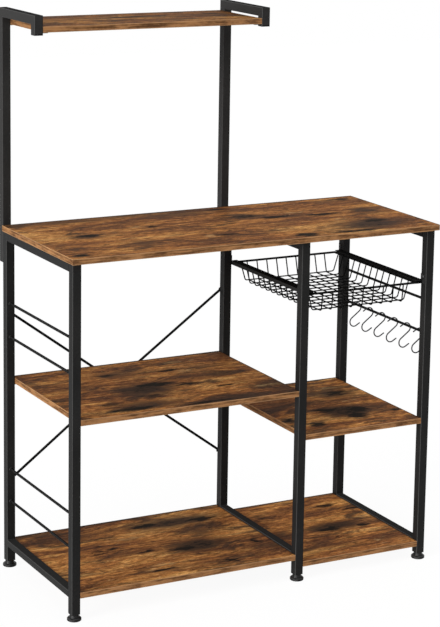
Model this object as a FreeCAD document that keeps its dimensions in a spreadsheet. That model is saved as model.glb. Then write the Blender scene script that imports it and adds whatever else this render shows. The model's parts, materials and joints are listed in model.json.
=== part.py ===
import FreeCAD, Part
import Sketcher
import math
import os

# Free-standing kitchen rack: three welded tube frames, a worktop, four lower
# shelves, a two-arm hutch with a top shelf, a rear cross brace, a pull-out wire
# basket on channel rails, six hanging hooks and six levelling feet.
# Millimetres; Z up, front towards -Y, origin on the floor under the middle.

vec = FreeCAD.Vector
doc = FreeCAD.newDocument("kitchen_rack")
sheet = doc.addObject("Spreadsheet::Sheet", "Sheet")

# Driving sizes
driving = [
    # boards
    ("worktop_width", 900), ("worktop_height", 790), ("board_thickness", 13),
    ("board_edge", 0.8), ("front_overhang", 12.5), ("worktop_rear_setback", 7.5),
    ("bottom_left_level", 49.3), ("bottom_right_level", 31.2),
    ("middle_left_level", 428.8), ("middle_right_level", 326.2),
    # frames
    ("tube_size", 20), ("tube_wall", 1.2), ("tube_corner", 1.5), ("end_inset", 5),
    ("frame_depth", 380), ("middle_frame_centre", 111), ("foot_height", 14),
    ("bottom_rail_height", 15),
    # rods
    ("rod_diameter", 6), ("guard_rod_height", 613.5), ("hook_rod_height", 536.5),
    ("low_rod_upper_height", 230.3), ("low_rod_lower_height", 155.5),
    # hutch
    ("bracket_top", 1269), ("bracket_depth", 200), ("bracket_nose", 39),
    ("post_bottom", 708), ("top_shelf_gap", 3.6), ("cap_thickness", 3.5),
    ("cap_plug", 8), ("plug_clearance", 0.1), ("post_bolt_margin", 19), ("post_bolt_pitch", 30),
    # lugs under the boards
    ("lug_reach", 14), ("lug_width", 12), ("lug_thickness", 2), ("lug_setback", 7),
    ("board_screw_diameter", 4), ("board_screw_head", 7.5), ("board_screw_bite", 9),
    ("board_screw_tip_room", 1), ("board_screw_hole", 4.4), ("sink_clearance", 0.1),
    ("worktop_screw_head", 8.5), ("worktop_screw_head_height", 2), ("worktop_screw_inset", 68),
    # cross brace
    ("brace_upper_height", 594), ("brace_lower_height", 193.5), ("brace_gap", 0.3),
    ("brace_tab_width", 12), ("brace_tab_thickness", 2.5), ("brace_tab_length", 10.5),
    ("brace_crossing", 30), ("brace_bend", 1500),
    # screws and nuts
    ("screw_diameter", 6), ("screw_hole", 6.6), ("screw_head_diameter", 10.5),
    ("screw_head_height", 3.3), ("screw_length", 12), ("post_bolt_shortfall", 2),
    ("socket_width", 4), ("socket_depth", 2),
    ("nut_diameter", 9), ("nut_length", 12), ("nut_collar_diameter", 11.5),
    ("nut_collar_length", 2.5), ("fit_clearance", 0.05),
    # basket rails
    ("rail_width", 18), ("rail_height", 8), ("rail_gauge", 1), ("rail_middle", 656.5),
    ("rail_end_setback", 2), ("flange_setback", 12), ("ear_height", 14), ("ear_screw_rise", 7.5),
    # basket
    ("rim_diameter", 5), ("rim_corner", 8), ("rim_side_gap", 15.7),
    ("rim_front_setback", 8), ("rim_rear_setback", 16), ("mesh_diameter", 2.6),
    ("mesh_gap", 0.1), ("mesh_end_gap", 0.4), ("mesh_bend", 8), ("basket_drop", 45.2),
    ("side_slope", 12), ("rear_slope", 12), ("front_slope", 5), ("long_wire_count", 9),
    ("long_wire_left_margin", 9.5), ("long_wire_right_margin", 20.6), ("cross_wire_count", 12),
    ("cross_wire_front", 24), ("cross_wire_rear", 22),
    # hooks
    ("hook_wire", 2.8), ("hook_gap", 0.3), ("hook_height", 60), ("hook_bend", 11.7),
    ("hook_skew", 3.2), ("hook_tip", 12), ("hook_opening_angle", 120), ("hook_count", 6),
    ("hook_rear_margin", 54), ("hook_front_margin", 16),
    # feet
    ("foot_pad_diameter", 31), ("foot_pad_height", 7), ("foot_neck_base", 23),
    ("foot_neck_top", 18), ("foot_gap", 0.5), ("foot_lower_edge", 1), ("foot_upper_edge", 2),
    ("stud_diameter", 8), ("stud_length", 34), ("stud_bottom", 3),
    ("insert_height", 24),
]

# Sizes that follow from the driving ones
derived = [
    ("total_depth", "front_overhang + frame_depth + tube_size + screw_head_height"),
    ("frame_front", "front_overhang - total_depth / 2"),
    ("frame_rear", "frame_front + frame_depth"),
    ("worktop_depth", "front_overhang + frame_depth - worktop_rear_setback"),
    ("worktop_bottom", "worktop_height - board_thickness"),
    ("leg_length", "worktop_bottom - foot_height"),
    ("rail_run", "frame_depth - 2 * tube_size"),
    ("left_centre", "-worktop_width / 2 + end_inset + tube_size / 2"),
    ("right_centre", "worktop_width / 2 - end_inset - tube_size / 2"),
    ("front_leg_centre", "frame_front + tube_size / 2"),
    ("rear_leg_centre", "frame_rear - tube_size / 2"),
    ("frame_centre", "(frame_front + frame_rear) / 2"),
    ("left_bay_start", "left_centre + tube_size / 2"),
    ("left_bay_end", "middle_frame_centre - tube_size / 2"),
    ("right_bay_start", "middle_frame_centre + tube_size / 2"),
    ("right_bay_end", "right_centre - tube_size / 2"),
    ("left_bay_width", "left_bay_end - left_bay_start"),
    ("right_bay_width", "right_bay_end - right_bay_start"),
    ("left_bay_centre", "(left_bay_start + left_bay_end) / 2"),
    ("right_bay_centre", "(right_bay_start + right_bay_end) / 2"),
    ("tube_inner", "tube_size - 2 * tube_wall"),
    ("bottom_rail_inner", "bottom_rail_height - 2 * tube_wall"),
    ("post_centre", "frame_rear + tube_size / 2"),
    ("post_length", "bracket_top - post_bottom"),
    ("bracket_rear", "frame_rear + tube_size"),
    ("bracket_front", "bracket_rear - bracket_depth"),
    ("nose_centre", "bracket_front + tube_size / 2"),
    ("bracket_centre", "(bracket_rear + bracket_front) / 2"),
    ("nose_bottom", "bracket_top - bracket_nose"),
    ("arm_centre_height", "bracket_top - tube_size / 2"),
    ("top_shelf_level", "bracket_top - tube_size - top_shelf_gap - board_thickness"),
    ("rail_top", "rail_middle + rail_height / 2"),
    ("rail_length", "frame_depth - 2 * rail_end_setback"),
    ("basket_rail_front", "frame_front + rail_end_setback"),
    ("ear_screw_height", "rail_top + ear_screw_rise"),
    ("rim_front", "frame_front + rim_front_setback"),
    ("rim_rear", "frame_rear - rim_rear_setback"),
    ("rim_left", "right_bay_start + rim_side_gap"),
    ("rim_right", "right_bay_end - rim_side_gap"),
    ("mesh_offset", "rim_diameter / 2 + mesh_diameter / 2 + mesh_gap"),
    ("mesh_left", "rim_left + mesh_offset"),
    ("mesh_right", "rim_right - mesh_offset"),
    ("mesh_front", "rim_front + mesh_offset"),
    ("mesh_rear", "rim_rear - mesh_offset"),
    ("cross_wire_level", "rail_middle - basket_drop"),
    ("long_wire_level", "cross_wire_level + mesh_diameter + mesh_gap"),
    ("worktop_screw_spread", "rail_run / 2 - worktop_screw_inset"),
    ("socket_circle", "socket_width / sqrt(3)"),
    ("hook_pitch", "(rail_run - hook_rear_margin - hook_front_margin) / (hook_count - 1)"),
    ("post_bolt_low", "post_bottom + post_bolt_margin"),
    ("post_bolt_high", "post_bolt_low + post_bolt_pitch"),
    ("post_bolt_length", "tube_size + nut_length - post_bolt_shortfall"),
]

for row, (name, content) in enumerate(driving + derived, start=1):
    is_number = isinstance(content, (int, float))
    sheet.set(f"A{row}", name)
    sheet.set(f"B{row}", str(content) if is_number else "=" + content)
    sheet.setAlias(f"B{row}", name)
doc.recompute()
aliases = {name for name, content in driving + derived}
nodes = []


def keep(piece):
    nodes.append(piece)
    return piece


def size(name):
    return float(getattr(sheet, name))


# Size names in a formula are read from the sheet
def expression(text):
    for mark in "()*/+-":
        text = text.replace(mark, f" {mark} ")
    return " ".join("Sheet." + word if word in aliases else word for word in text.split())


def bind(thing, prop, text):
    thing.setExpression(prop, expression(text))


def place(thing, x="0", y="0", z="0", rotation=None):
    if rotation is not None:
        thing.Placement = FreeCAD.Placement(vec(0, 0, 0), rotation)
    bind(thing, "Placement.Base.x", x)
    bind(thing, "Placement.Base.y", y)
    bind(thing, "Placement.Base.z", z)


along_y = FreeCAD.Rotation(vec(1, 0, 0), -90)


# Sketch helpers
def new_body(label):
    body = doc.addObject("PartDesign::Body", "Body_" + label)
    body.Label = label
    return body


def new_sketch(body, name, role="XY_Plane"):
    sketch = body.newObject("Sketcher::SketchObject", name)
    plane = [feature for feature in body.Origin.OriginFeatures if feature.Role == role][0]
    sketch.AttachmentSupport = (plane, [""])
    sketch.MapMode = "FlatFace"
    return sketch


def constrain(sketch, kind, places, text):
    index = sketch.addConstraint(Sketcher.Constraint(kind, *places, 1.0))
    name = f"size_{index}"
    sketch.renameConstraint(index, name)
    bind(sketch, "Constraints." + name, text)


def draw_rectangle(sketch, width, depth):
    corners = [vec(-5, -5, 0), vec(5, -5, 0), vec(5, 5, 0), vec(-5, 5, 0)]
    first = sketch.GeometryCount
    for i in range(4):
        sketch.addGeometry(Part.LineSegment(corners[i], corners[(i + 1) % 4]), False)
    for i in range(4):
        sketch.addConstraint(Sketcher.Constraint("Coincident", first + i, 2, first + (i + 1) % 4, 1))
    sketch.addConstraint(Sketcher.Constraint("Horizontal", first))
    sketch.addConstraint(Sketcher.Constraint("Horizontal", first + 2))
    sketch.addConstraint(Sketcher.Constraint("Vertical", first + 1))
    sketch.addConstraint(Sketcher.Constraint("Vertical", first + 3))
    sketch.addConstraint(Sketcher.Constraint("Symmetric", first, 1, first + 1, 2, -1, 1))
    constrain(sketch, "DistanceX", (first, 1, first, 2), width)
    constrain(sketch, "DistanceY", (first + 1, 1, first + 1, 2), depth)


def draw_circle(sketch, x, y, diameter):
    index = sketch.addGeometry(Part.Circle(vec(1, 1, 0), vec(0, 0, 1), 1), False)
    constrain(sketch, "Diameter", (index,), diameter)
    constrain(sketch, "DistanceX", (-1, 1, index, 3), x)
    constrain(sketch, "DistanceY", (-1, 1, index, 3), y)


# Closed straight-sided outline; each point is a pair of size formulas
def draw_outline(sketch, points):
    first = sketch.GeometryCount
    count = len(points)
    for i in range(count):
        a, b = 3.0 * i, 3.0 * ((i + 1) % count)
        start, end = vec(a, a * a / 9, 0), vec(b, b * b / 9, 0)
        sketch.addGeometry(Part.LineSegment(start, end), False)
    for i in range(count):
        sketch.addConstraint(Sketcher.Constraint("Coincident", first + i, 2, first + (i + 1) % count, 1))
    for i, (x, y) in enumerate(points):
        constrain(sketch, "DistanceX", (-1, 1, first + i, 1), x)
        constrain(sketch, "DistanceY", (-1, 1, first + i, 1), y)


def pad(body, sketch, length, reverse=False):
    feature = body.newObject("PartDesign::Pad", "Pad")
    feature.Profile = sketch
    bind(feature, "Length", length)
    feature.Reversed = reverse
    sketch.Visibility = False
    return feature


# Without a length the cut goes right through
def pocket(body, sketch, length=None, reverse=False, middle=False):
    feature = body.newObject("PartDesign::Pocket", "Pocket")
    feature.Profile = sketch
    feature.Reversed = reverse
    feature.Midplane = middle
    if length is None:
        feature.Type = "ThroughAll"
    else:
        bind(feature, "Length", length)
    sketch.Visibility = False
    return feature


def edges_where(shape, test):
    return [f"Edge{i}" for i, edge in enumerate(shape.Edges, start=1) if test(edge)]


# Straight edges parallel to one axis: 0 is X, 1 is Y, 2 is Z
def runs_along(edge, axis):
    if edge.Curve.TypeId != "Part::GeomLine":
        return False
    direction = edge.tangentAt(edge.FirstParameter)
    return abs(abs(direction[axis]) - 1) < 1e-6


def round_edges(body, base, names, radius):
    feature = body.newObject("PartDesign::Fillet", "Fillet")
    feature.Base = (base, names)
    bind(feature, "Radius", radius)
    return feature


# Square tube standing on its lower end, centred on its own Z axis
def tube(label, length, depth="tube_size", inner_depth="tube_inner"):
    body = new_body(label)
    outline = new_sketch(body, "Outside")
    draw_rectangle(outline, "tube_size", depth)
    solid = pad(body, outline, length)
    doc.recompute()
    names = edges_where(solid.Shape, lambda edge: runs_along(edge, 2))
    round_edges(body, solid, names, "tube_corner")
    inside = new_sketch(body, "Inside")
    draw_rectangle(inside, "tube_inner", inner_depth)
    pocket(body, inside, middle=True)
    return body


# Round holes on a tube's centre line, in one wall or in both
def drill_tube(body, heights, diameter, role, reverse=False, through=False):
    holes = new_sketch(body, "Holes", role)
    for height in heights:
        draw_circle(holes, "0", height, diameter)
    if through:
        pocket(body, holes, middle=True)
    else:
        pocket(body, holes, "tube_size", reverse)


# Welded tube frames
frames = {"left": "left_centre", "middle": "middle_frame_centre", "right": "right_centre"}
nut_hole = "nut_diameter + 2 * fit_clearance"
brace_heights = ["brace_upper_height - foot_height", "brace_lower_height - foot_height"]
post_heights = ["post_bolt_low - foot_height", "post_bolt_high - foot_height"]
ear_heights = ["ear_screw_height - foot_height"]

for side, centre in frames.items():
    for end in ("front", "rear"):
        leg = keep(tube(f"{side}_{end}_leg", "leg_length"))
        place(leg, centre, f"{end}_leg_centre", "foot_height")
        if end == "rear" and side != "right":
            drill_tube(leg, brace_heights + post_heights, nut_hole, "XZ_Plane", reverse=False)
        if side != "left":
            drill_tube(leg, ear_heights, nut_hole, "YZ_Plane", reverse=(side == "middle"))
    top_rail = keep(tube(f"{side}_top_rail", "rail_run"))
    place(top_rail, centre, "frame_front + tube_size", "worktop_bottom - tube_size / 2", along_y)
    screw_rows = ["rail_run / 2 - worktop_screw_spread", "rail_run / 2 + worktop_screw_spread"]
    drill_tube(top_rail, screw_rows, "board_screw_hole", "XZ_Plane", through=True)
    level = "bottom_right_level" if side == "right" else "bottom_left_level"
    low_rail = keep(tube(f"{side}_bottom_rail", "rail_run", "bottom_rail_height", "bottom_rail_inner"))
    place(low_rail, centre, "frame_front + tube_size", f"{level} + bottom_rail_height / 2", along_y)


# Round guard rods between the legs of the end frames
def rod(name, centre, height):
    piece = doc.addObject("Part::Cylinder", name)
    bind(piece, "Radius", "rod_diameter / 2")
    bind(piece, "Height", "rail_run")
    place(piece, centre, "frame_front + tube_size", height, along_y)
    return piece


# Several like pieces kept as separate solids under one name
def group(label, pieces):
    node = doc.addObject("Part::Compound", "Group_" + label)
    node.Label = label
    node.Links = pieces
    keep(node)


left_rod_heights = ["guard_rod_height", "hook_rod_height", "low_rod_upper_height", "low_rod_lower_height"]
left_rods = [rod(f"LeftRod{i}", "left_centre", height) for i, height in enumerate(left_rod_heights)]
group("left_guard_rods", left_rods)
right_rod = keep(rod("RightRod", "right_centre", "guard_rod_height"))
right_rod.Label = "right_guard_rod"
hook_rod = keep(rod("HookRod", "right_centre", "hook_rod_height"))
hook_rod.Label = "hook_rod"


# Boards: a flat panel with eased edges and blind screw holes from below
def board(label, width, depth, x, y, z, screw_places):
    body = new_body(label)
    outline = new_sketch(body, "Outline")
    draw_rectangle(outline, width, depth)
    solid = pad(body, outline, "board_thickness")
    doc.recompute()
    names = [f"Edge{i + 1}" for i in range(len(solid.Shape.Edges))]
    round_edges(body, solid, names, "board_edge")
    holes = new_sketch(body, "ScrewHoles")
    for across, along in screw_places:
        draw_circle(holes, across, along, "board_screw_diameter + 2 * fit_clearance")
    pocket(body, holes, "board_screw_bite + board_screw_tip_room", reverse=True)
    place(body, x, y, z)
    keep(body)


lug_middle = "(lug_reach / 2)"
lug_rows = {
    "frame": ["-frame_depth / 2 + lug_setback + lug_width / 2",
              "frame_depth / 2 - lug_setback - lug_width / 2"],
    "bracket": ["-bracket_depth / 2 + lug_setback + lug_width / 2",
                "bracket_depth / 2 - lug_setback - lug_width / 2"],
}


def shelf_screws_of(width, rows):
    columns = [f"-{width} / 2 + {lug_middle}", f"{width} / 2 - {lug_middle}"]
    return [(column, row) for column in columns for row in lug_rows[rows]]


rail_screw_rows = ["-worktop_screw_spread", "worktop_screw_spread"]
worktop_centre = "worktop_depth / 2 - total_depth / 2"
worktop_screws = [(centre, f"{row} + frame_centre - ({worktop_centre})")
                  for centre in frames.values() for row in rail_screw_rows]
board("worktop", "worktop_width", "worktop_depth", "0", worktop_centre, "worktop_bottom", worktop_screws)

shelves = [
    ("middle_left_shelf", "left_bay", "middle_left_level", "frame"),
    ("middle_right_shelf", "right_bay", "middle_right_level", "frame"),
    ("bottom_left_shelf", "left_bay", "bottom_left_level", "frame"),
    ("bottom_right_shelf", "right_bay", "bottom_right_level", "frame"),
    ("top_shelf", "left_bay", "top_shelf_level", "bracket"),
]
for label, bay, level, rows in shelves:
    width = bay + "_width"
    board(label, width, rows + "_depth", bay + "_centre", rows + "_centre", level,
          shelf_screws_of(width, rows))


# Flat lugs welded to the tubes under every board end, drilled and countersunk
def lug(name, x, y, top):
    body = new_body(name)
    outline = new_sketch(body, "Outline")
    draw_rectangle(outline, "lug_reach", "lug_width")
    pad(body, outline, "lug_thickness")
    hole = new_sketch(body, "Hole")
    draw_circle(hole, "0", "0", "board_screw_hole")
    pocket(body, hole, middle=True)
    sink = doc.addObject("Part::Cone", name + "Sink")
    bind(sink, "Radius1", "board_screw_head / 2 + sink_clearance")
    bind(sink, "Radius2", "board_screw_diameter / 2 + sink_clearance")
    bind(sink, "Height", "lug_thickness")
    cut = doc.addObject("Part::Cut", name + "Cut")
    cut.Base = body
    cut.Tool = sink
    place(cut, x, y, f"{top} - lug_thickness")
    return cut


# Countersunk board screw, head down, its top end inside the board
def board_screw(name, x, y, top):
    head = doc.addObject("Part::Cone", name + "Head")
    bind(head, "Radius1", "board_screw_head / 2")
    bind(head, "Radius2", "board_screw_diameter / 2")
    bind(head, "Height", "lug_thickness")
    shank = doc.addObject("Part::Cylinder", name + "Shank")
    bind(shank, "Radius", "board_screw_diameter / 2")
    bind(shank, "Height", "lug_thickness + board_screw_bite")
    screw = doc.addObject("Part::Fuse", name)
    screw.Base = head
    screw.Tool = shank
    place(screw, x, y, f"{top} - lug_thickness")
    return screw


lugs = []
screws = []
for label, bay, level, rows in shelves:
    columns = [f"{bay}_start + {lug_middle}", f"{bay}_end - {lug_middle}"]
    for i, column in enumerate(columns):
        for j, row in enumerate(lug_rows[rows]):
            name = "".join(word.title() for word in label.split("_")) + f"{i}{j}"
            along = f"{rows}_centre + {row}"
            lugs.append(lug("Lug" + name, column, along, level))
            screws.append(board_screw("Screw" + name, column, along, level))
group("shelf_lugs", lugs)
group("shelf_screws", screws)


# Pan-head screws up through the top rails into the worktop
def worktop_screw(name, x, y):
    head = doc.addObject("Part::Cylinder", name + "Head")
    bind(head, "Radius", "worktop_screw_head / 2")
    bind(head, "Height", "worktop_screw_head_height")
    place(head, "0", "0", "-worktop_screw_head_height")
    shank = doc.addObject("Part::Cylinder", name + "Shank")
    bind(shank, "Radius", "board_screw_diameter / 2")
    bind(shank, "Height", "tube_size + board_screw_bite")
    screw = doc.addObject("Part::Fuse", name)
    screw.Base = head
    screw.Tool = shank
    place(screw, x, y, "worktop_bottom - tube_size")
    return screw


worktop_screw_pieces = []
for side, centre in frames.items():
    for j, row in enumerate(rail_screw_rows):
        name = f"WorktopScrew{side.title()}{j}"
        worktop_screw_pieces.append(worktop_screw(name, centre, f"{row} + frame_centre"))
group("worktop_screws", worktop_screw_pieces)


# Hutch brackets: post, arm and nose mitred together at 45 degrees
# Each mitred end is given as top or bottom and the side that stays long
def mitred_tube(label, length, ends):
    body = keep(tube(label, length))
    half = "tube_size / 2"
    for at_top, long_side in ends:
        long = f"{long_side}{half}"
        short = f"{'-' if long_side == '+' else '+'}{half}"
        tip = length if at_top else "0"
        root = f"({length}) - tube_size" if at_top else "tube_size"
        cut = new_sketch(body, "Mitre", "YZ_Plane")
        draw_outline(cut, [(long, tip), (short, tip), (short, root)])
        pocket(body, cut, middle=True)
    return body


bracket_sides = {"left": "left_centre", "right": "middle_frame_centre"}
for side, centre in bracket_sides.items():
    post = mitred_tube(f"{side}_hutch_post", "post_length", [(True, "+")])
    drill_tube(post, ["post_bolt_low - post_bottom", "post_bolt_high - post_bottom"],
               "screw_hole", "XZ_Plane", through=True)
    place(post, centre, "post_centre", "post_bottom")
    arm = mitred_tube(f"{side}_hutch_arm", "bracket_depth", [(False, "-"), (True, "-")])
    place(arm, centre, "bracket_front", "arm_centre_height", along_y)
    nose = mitred_tube(f"{side}_hutch_nose", "bracket_nose", [(True, "-")])
    place(nose, centre, "nose_centre", "nose_bottom")


# Plastic caps in the open lower tube ends of the brackets
def end_cap(name, x, y, top):
    body = new_body(name)
    plate = new_sketch(body, "Plate")
    draw_rectangle(plate, "tube_size", "tube_size")
    base = pad(body, plate, "cap_thickness")
    doc.recompute()
    names = edges_where(base.Shape, lambda edge: runs_along(edge, 2))
    round_edges(body, base, names, "tube_corner")
    plug = new_sketch(body, "Plug")
    draw_rectangle(plug, "tube_inner - 2 * plug_clearance", "tube_inner - 2 * plug_clearance")
    pad(body, plug, "cap_thickness + cap_plug")
    place(body, x, y, f"{top} - cap_thickness")
    return body


caps = []
for side, centre in bracket_sides.items():
    caps.append(end_cap(f"Cap{side.title()}Post", centre, "post_centre", "post_bottom"))
    caps.append(end_cap(f"Cap{side.title()}Nose", centre, "nose_centre", "nose_bottom"))
group("bracket_end_caps", caps)


# Press-in threaded nut: flush outside the wall, collar swaged behind it
def press_nut(name):
    sleeve = doc.addObject("Part::Cylinder", name + "Sleeve")
    bind(sleeve, "Radius", "nut_diameter / 2")
    bind(sleeve, "Height", "nut_length")
    collar = doc.addObject("Part::Cylinder", name + "Collar")
    bind(collar, "Radius", "nut_collar_diameter / 2")
    bind(collar, "Height", "nut_collar_length")
    place(collar, "0", "0", "tube_wall")
    outside = doc.addObject("Part::Fuse", name + "Outside")
    outside.Base = sleeve
    outside.Tool = collar
    bore = doc.addObject("Part::Cylinder", name + "Bore")
    bind(bore, "Radius", "screw_diameter / 2 + fit_clearance")
    bind(bore, "Height", "nut_length")
    nut = doc.addObject("Part::Cut", name)
    nut.Base = outside
    nut.Tool = bore
    return nut


# Button-head machine screw with a hexagon socket; its head seats at height 0
def machine_screw(name, length):
    head = doc.addObject("Part::Cylinder", name + "Head")
    bind(head, "Radius", "screw_head_diameter / 2")
    bind(head, "Height", "screw_head_height")
    place(head, "0", "0", "-screw_head_height")
    shank = doc.addObject("Part::Cylinder", name + "Shank")
    bind(shank, "Radius", "screw_diameter / 2")
    bind(shank, "Height", length)
    whole = doc.addObject("Part::Fuse", name + "Whole")
    whole.Base = head
    whole.Tool = shank
    socket = doc.addObject("Part::Prism", name + "Socket")
    socket.Polygon = 6
    bind(socket, "Circumradius", "socket_circle")
    bind(socket, "Height", "socket_depth")
    place(socket, "0", "0", "-screw_head_height")
    screw = doc.addObject("Part::Cut", name)
    screw.Base = whole
    screw.Tool = socket
    return screw


into_front = FreeCAD.Rotation(vec(1, 0, 0), 90)
into_left = FreeCAD.Rotation(vec(0, 1, 0), -90)
into_right = FreeCAD.Rotation(vec(0, 1, 0), 90)

nuts = []
short_screws = []
long_screws = []
for side, centre in bracket_sides.items():
    for i, height in enumerate(["post_bolt_low", "post_bolt_high"]):
        name = f"Post{side.title()}{i}"
        nut = press_nut("Nut" + name)
        place(nut, centre, "frame_rear", height, into_front)
        nuts.append(nut)
        screw = machine_screw("Screw" + name, "post_bolt_length")
        place(screw, centre, "bracket_rear", height, into_front)
        long_screws.append(screw)
    for i, height in enumerate(["brace_upper_height", "brace_lower_height"]):
        name = f"Brace{side.title()}{i}"
        nut = press_nut("Nut" + name)
        place(nut, centre, "frame_rear", height, into_front)
        nuts.append(nut)
        screw = machine_screw("Screw" + name, "screw_length")
        place(screw, centre, "frame_rear + brace_tab_thickness", height, into_front)
        short_screws.append(screw)
ear_faces = {"left": ("right_bay_start", "+", into_left), "right": ("right_bay_end", "-", into_right)}
for side, (face, sign, turn) in ear_faces.items():
    for end in ("front", "rear"):
        name = f"Rail{side.title()}{end.title()}"
        nut = press_nut("Nut" + name)
        place(nut, face, f"{end}_leg_centre", "ear_screw_height", turn)
        nuts.append(nut)
        screw = machine_screw("Screw" + name, "screw_length")
        place(screw, f"{face} {sign} rail_gauge", f"{end}_leg_centre", "ear_screw_height", turn)
        short_screws.append(screw)
group("press_nuts", nuts)
group("frame_screws", short_screws)
group("post_bolts", long_screws)


# Basket rails: open channels on the inner leg faces, with a drilled ear at each end
# The open side faces + or - along X
def basket_rail(label, face, facing):
    body = keep(new_body(label))
    channel = new_sketch(body, "Channel", "XZ_Plane")
    outer = f"{facing}rail_width"
    web = f"{facing}rail_gauge"
    half = "rail_height / 2"
    draw_outline(channel, [
        ("0", f"-{half}"), (outer, f"-{half}"), (outer, f"-{half} + rail_gauge"),
        (web, f"-{half} + rail_gauge"), (web, f"{half} - rail_gauge"),
        (outer, f"{half} - rail_gauge"), (outer, half), ("0", half),
    ])
    pad(body, channel, "rail_length", reverse=True)
    # Both flanges stop short of the ends, where only the flat web runs on
    notches = new_sketch(body, "Notches")
    short = "flange_setback - rail_end_setback"
    for start, end in (("0", short), (f"rail_length - ({short})", "rail_length")):
        draw_outline(notches, [(web, start), (outer, start), (outer, end), (web, end)])
    pocket(body, notches, middle=True)
    for start, end in (("0", "tube_size - rail_end_setback"),
                       ("rail_length - tube_size + rail_end_setback", "rail_length")):
        ear = new_sketch(body, "Ear", "YZ_Plane")
        top = f"{half} + ear_height"
        draw_outline(ear, [(start, half), (end, half), (end, top), (start, top)])
        pad(body, ear, "rail_gauge", reverse=(facing == "-"))
    holes = new_sketch(body, "EarHoles", "YZ_Plane")
    rise = "ear_screw_rise + rail_height / 2"
    draw_circle(holes, "tube_size / 2 - rail_end_setback", rise, "screw_hole")
    draw_circle(holes, "rail_length - tube_size / 2 + rail_end_setback", rise, "screw_hole")
    pocket(body, holes, middle=True)
    place(body, face, "basket_rail_front", "rail_middle")


basket_rail("basket_left_rail", "right_bay_start", "+")
basket_rail("basket_right_rail", "right_bay_end", "-")


# Bent round wire along a path of straight runs joined by tangent bends
def bent_path(points, radius):
    edges = []
    start = points[0]
    for i in range(1, len(points) - 1):
        corner = points[i]
        back = (points[i - 1] - corner).normalize()
        ahead = (points[i + 1] - corner).normalize()
        angle = back.getAngle(ahead)
        run = radius / math.tan(angle / 2)
        enter = corner + back * run
        leave = corner + ahead * run
        inward = (back + ahead).normalize()
        reach = radius / math.sin(angle / 2) - radius
        edges.append(Part.makeLine(start, enter))
        edges.append(Part.Arc(enter, corner + inward * reach, leave).toShape())
        start = leave
    edges.append(Part.makeLine(start, points[-1]))
    return edges


def wire_along(edges, diameter):
    path = Part.Wire(edges)
    first = edges[0]
    start = first.valueAt(first.FirstParameter)
    direction = first.tangentAt(first.FirstParameter)
    ring = Part.Wire(Part.makeCircle(diameter / 2, start, direction))
    return path.makePipeShell([ring], True, False)


def shape_node(label, shape, position, rotation=FreeCAD.Rotation()):
    node = doc.addObject("Part::Feature", "Shape_" + label)
    node.Label = label
    node.Shape = shape
    node.Placement = FreeCAD.Placement(position, rotation)
    keep(node)


# Cross brace: two round bars with flattened, drilled ends, one lying over the other.
# A bar is drawn from its middle along X, with Z pointing away from the legs.
def brace_bar(label, left_height, right_height, over):
    run = size("middle_frame_centre") - size("left_centre")
    rise = right_height - left_height
    half = math.hypot(run, rise) / 2
    diameter = size("rod_diameter")
    low = diameter / 2 + size("brace_gap")
    end = half - size("brace_tab_length") + diameter / 2
    points = [vec(-end, 0, low), vec(end, 0, low)]
    if over:
        high = low + diameter + size("brace_gap")
        crossing = size("brace_crossing")
        points[1:1] = [vec(-crossing, 0, high), vec(crossing, 0, high)]
    bar = wire_along(bent_path(points, size("brace_bend")), diameter)
    width = size("brace_tab_width")
    thickness = size("brace_tab_thickness")
    for turn, centre in ((0, -half), (180, half)):
        tab = Part.makeBox(size("brace_tab_length"), width, thickness, vec(0, -width / 2, 0))
        tab = tab.fuse(Part.makeCylinder(width / 2, thickness))
        tab = tab.cut(Part.makeCylinder(size("screw_hole") / 2, thickness))
        tab.rotate(vec(0, 0, 0), vec(0, 0, 1), turn)
        tab.translate(vec(centre, 0, 0))
        bar = bar.fuse(tab)
    centre = vec((size("left_centre") + size("middle_frame_centre")) / 2, size("frame_rear"),
                 (left_height + right_height) / 2)
    lean = FreeCAD.Rotation(vec(0, 1, 0), -math.degrees(math.atan2(rise, run)))
    shape_node(label, bar.removeSplitter(), centre, lean.multiply(along_y))


brace_bar("brace_bar_front", size("brace_upper_height"), size("brace_lower_height"), over=False)
brace_bar("brace_bar_rear", size("brace_lower_height"), size("brace_upper_height"), over=True)


# Basket: closed rim, cross wires beneath, long wires resting on them
def rim_loop():
    left, right = size("rim_left"), size("rim_right")
    front, rear = size("rim_front"), size("rim_rear")
    middle = (left + right) / 2
    points = [vec(middle, rear, 0), vec(left, rear, 0), vec(left, front, 0),
              vec(right, front, 0), vec(right, rear, 0), vec(middle, rear, 0)]
    return wire_along(bent_path(points, size("rim_corner")), size("rim_diameter"))


mesh_diameter = size("mesh_diameter")
mesh_bend = size("mesh_bend")


# The top of a cross wire is welded to the rim, or ends just below it
def cross_wire(y, level, top=0.0):
    left, right, slope = size("mesh_left"), size("mesh_right"), size("side_slope")
    points = [vec(left, y, top), vec(left + slope, y, level),
              vec(right - slope, y, level), vec(right, y, top)]
    return wire_along(bent_path(points, mesh_bend), mesh_diameter)


def long_wire(x, level):
    front = size("mesh_front")
    rear = size("mesh_rear")
    points = [vec(x, rear, 0), vec(x, rear - size("rear_slope"), level),
              vec(x, front + size("front_slope"), level), vec(x, front, 0)]
    return wire_along(bent_path(points, mesh_bend), mesh_diameter)


def spread(first, last, count):
    step = (last - first) / (count - 1)
    return [first + step * i for i in range(count)]


basket_height = size("rail_middle")
cross_level = size("cross_wire_level") - basket_height
long_level = size("long_wire_level") - basket_height
cross_first = size("mesh_front") + size("front_slope") + size("cross_wire_front")
cross_last = size("mesh_rear") - size("rear_slope") - size("cross_wire_rear")
cross_places = spread(cross_first, cross_last, int(size("cross_wire_count")))
cross_wires = [cross_wire(y, cross_level) for y in cross_places]

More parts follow.
